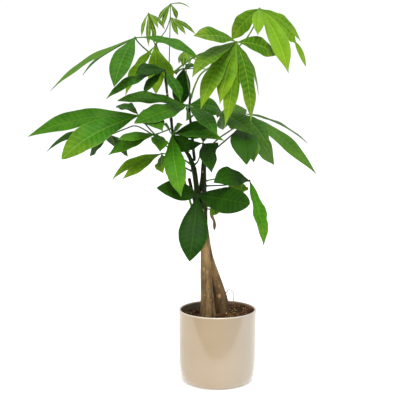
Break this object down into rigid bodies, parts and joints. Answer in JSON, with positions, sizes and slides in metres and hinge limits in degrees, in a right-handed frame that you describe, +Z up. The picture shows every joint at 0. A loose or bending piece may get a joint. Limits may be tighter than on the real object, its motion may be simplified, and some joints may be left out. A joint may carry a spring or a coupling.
{
  "type": "potted money tree",
  "caption": "A money tree with hand-shaped leaves on long stalks, rising from woody trunks set close together in a plain, slightly tapered glazed pot of soil.",
  "frame": {"origin": "centre of the pot's flat base, on the surface it stands on", "axes": "+Z up the plant, -Y to the plant's front, +X to its right as seen from the front"},
  "size_m": [0.5411, 0.258, 0.7214],
  "materials": {
    "pot_glaze": "smooth glossy cream-beige glaze",
    "soil_mix": "loose dark potting mix with bark chips",
    "bark": "matt grey-brown bark with pale lenticels, greener towards the top",
    "green_stem": "satin dark green young bark",
    "dry_wood": "matt dry brown wood",
    "dry_root": "matt pale dry rootlet",
    "leaf_young": "satin pale green young leaf",
    "leaf_lime": "satin yellow-green leaf",
    "leaf_fresh": "satin bright green leaf",
    "leaf_mid": "satin mid green leaf",
    "leaf_grey": "satin grey-green leaf",
    "leaf_dark": "satin deep green leaf"
  },
  "bodies": {
    "root": {"pot": "pot_glaze", "soil": "soil_mix", "trunk_front": "bark", "trunk_right": "bark", "shoot_left": "green_stem", "shoot_middle": "green_stem", "pruned_stub": "dry_wood", "dry_twig": "dry_wood", "dry_rootlet": "dry_root", "leaf_01_tip": "leaf_young", "leaf_02_young": "leaf_young", "leaf_03_young": "leaf_young", "leaf_04_upper_left": "leaf_mid", "leaf_05_lime": "leaf_lime", "leaf_06_shaded": "leaf_dark", "leaf_07_young": "leaf_young", "leaf_08_shaded": "leaf_dark", "leaf_09_right_front": "leaf_lime", "leaf_10_top_right": "leaf_lime", "leaf_11_centre": "leaf_mid", "leaf_12_left_long": "leaf_mid", "leaf_13_left_back": "leaf_dark", "leaf_14_left_centre": "leaf_mid", "leaf_15_left_low": "leaf_lime", "leaf_16_front_centre": "leaf_fresh", "leaf_17_right_centre": "leaf_grey", "leaf_18_right_long": "leaf_grey", "leaf_19_right_hanging": "leaf_dark", "leaf_20_inner": "leaf_dark", "leaf_21_right_low": "leaf_dark", "leaf_22_right_under": "leaf_lime", "leaf_23_front_low": "leaf_dark", "leaf_24_small_low": "leaf_lime"}
  },
  "joints": []
}
